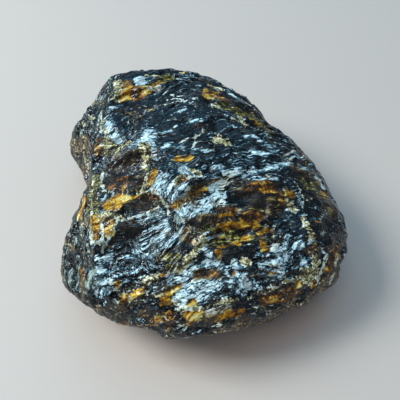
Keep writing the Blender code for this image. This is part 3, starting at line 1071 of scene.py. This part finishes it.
def surface_normal(n, p, z):
    """Fine bumps and tilted chips. Glassy places have less of them."""
    height = n.sum((0.5, p.fine), (0.4, p.silk), (0.4, p.band), (0.4, p.long_lines))
    height = n.blend(z.calm, height, n.sum((1.2, p.silk), (0.6, p.dash), (0.6, p.grit)))
    bump = n.add("ShaderNodeBump", {"Height": height, "Strength": 1.0, "Distance": BUMP_HEIGHT * MM})
    tilt = n.vector_sum(
        (SPLINTER_TILT, p.splinter.tilt), (FLAKE_TILT, p.flake.tilt), (CRUMB_TILT, p.crumb.tilt)
    )
    glassy = n.most(z.calm, n.times(z.umber, 0.9))
    tilt = n.scaled(tilt, n.blend(glassy, 1.0, GLASSY_TILT))
    return n.vector("NORMALIZE", n.vector("ADD", bump.outputs[0], tilt))


def amber_material():
    """Dark clear glass, stained in its windows, and solid where it is fibre, crust, rind or speck."""
    n = Nodes("amber")
    p = patterns(n)
    z = zones(n, p)
    tone = fibre_tone(n, p, z)
    pale = n.step(tone, 0.2, 0.5)
    stained = n.most(z.windows, z.olive)
    crusty = n.most(z.crust, z.rind, z.speck, z.vein)
    solid = n.most(crusty, z.thread, n.outside(stained, pale))
    clear = n.outside(solid, n.blend(n.most(stained, z.umber), 1.0, STAINED_CLEARNESS))
    fibre_gloss = n.blend(n.step(p.broad, -0.2, 0.3), *FIBRE_ROUGHNESS)
    glass = n.blend(stained, n.blend(z.calm, fibre_gloss, CALM_ROUGHNESS), STAINED_ROUGHNESS)
    shader = n.add("ShaderNodeBsdfPrincipled", {
        "Base Color": amber_colour(n, p, z, tone, pale),
        "Roughness": n.blend(solid, glass, n.blend(crusty, PALE_ROUGHNESS, CRUST_ROUGHNESS)),
        "Transmission Weight": clear,
        "Normal": surface_normal(n, p, z),
        "IOR": AMBER_IOR,
    })
    depth = n.add("ShaderNodeVolumeAbsorption", {"Color": ABSORBED_COLOUR, "Density": ABSORPTION})
    n.add("ShaderNodeOutputMaterial", {"Surface": shader.outputs[0], "Volume": depth.outputs[0]})
    return n.material


def plain_material(name, colour, roughness):
    material = bpy.data.materials.new(name)
    material.use_nodes = True
    shader = material.node_tree.nodes["Principled BSDF"]
    shader.inputs["Base Color"].default_value = (*colour, 1)
    shader.inputs["Roughness"].default_value = roughness
    return material


def floor():
    bpy.ops.mesh.primitive_plane_add(size=FLOOR_SIZE)
    plane = bpy.context.object
    plane.name = "floor"
    plane.data.materials.append(plain_material("floor", FLOOR_COLOUR, FLOOR_ROUGHNESS))
    return plane


def area_light(name, azimuth, elevation, distance, size, radiance, colour):
    """A square lamp that faces the lump from that bearing and height."""
    lamp = bpy.data.lights.new(name, "AREA")
    lamp.size = size
    lamp.energy = radiance * math.pi * size**2
    lamp.color = colour
    thing = bpy.data.objects.new(name, lamp)
    bpy.context.scene.collection.objects.link(thing)
    bearing = math.radians(azimuth)
    height = math.radians(elevation)
    level = math.cos(height)
    towards = Vector((math.cos(bearing) * level, math.sin(bearing) * level, math.sin(height)))
    thing.location = towards * distance
    thing.rotation_euler = towards.to_track_quat("Z", "Y").to_euler()


def camera():
    lens = bpy.data.cameras.new("camera")
    lens.sensor_width = SENSOR_WIDTH
    lens.lens = CAMERA_LENS
    lens.clip_start = 0.01
    thing = bpy.data.objects.new("camera", lens)
    bpy.context.scene.collection.objects.link(thing)
    elevation = math.radians(CAMERA_ELEVATION)
    back = CAMERA_DISTANCE * math.cos(elevation)
    up = CAMERA_AIM_HEIGHT + CAMERA_DISTANCE * math.sin(elevation)
    thing.location = (0, -back, up)
    thing.rotation_euler = (math.radians(90) - elevation, 0, 0)
    bpy.context.scene.camera = thing


def surroundings():
    world = bpy.data.worlds.new("studio")
    world.use_nodes = True
    background = world.node_tree.nodes["Background"]
    background.inputs["Color"].default_value = SKY_COLOUR
    background.inputs["Strength"].default_value = SKY_STRENGTH
    bpy.context.scene.world = world
    for name, lamp in LAMPS.items():
        area_light(name, *lamp)
    bpy.context.scene.view_settings.view_transform = "Standard"


camera()
surroundings()
floor()
amber = lump()
amber.data.materials.clear()
amber.data.materials.append(amber_material())
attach(amber, "root")
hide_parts(NODE)
